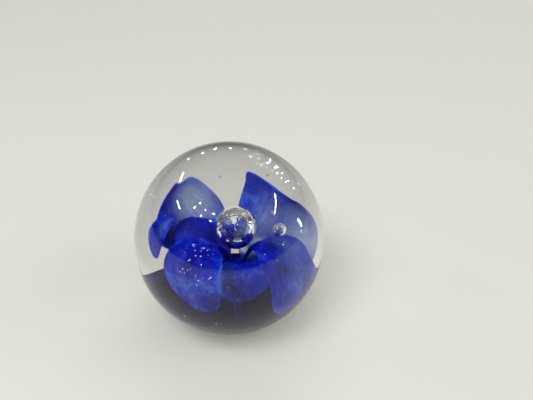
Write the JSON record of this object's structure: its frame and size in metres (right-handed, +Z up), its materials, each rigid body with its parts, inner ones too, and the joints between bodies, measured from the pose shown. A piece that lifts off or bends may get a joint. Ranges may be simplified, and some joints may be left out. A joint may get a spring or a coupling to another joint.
{
  "type": "paperweight",
  "caption": "Clear glass ball paperweight with a flat base, a blue glass flower round a large bubble and a dark glass ground sealed inside.",
  "frame": {"origin": "centre of the flat polished base", "axes": "+Z up through the ball's centre, -Y towards the side the flower's front petals droop on"},
  "size_m": [0.078, 0.078, 0.0772],
  "materials": {
    "clear_glass": "polished clear",
    "dark_glass": "near-black violet, opaque",
    "stem_glass": "deep blue",
    "petal_glass": "streaky cobalt blue, translucent"
  },
  "bodies": {
    "root": {"clear_glass_ball": "clear_glass", "dark_ground": "dark_glass", "flower_stem": "stem_glass", "flower_throat": "stem_glass", "petal_back_left": "petal_glass", "petal_inner_left": "petal_glass", "petal_left": "petal_glass", "petal_front_left": "petal_glass", "petal_front": "petal_glass", "petal_front_right": "petal_glass", "petal_back_right": "petal_glass"}
  },
  "joints": []
}
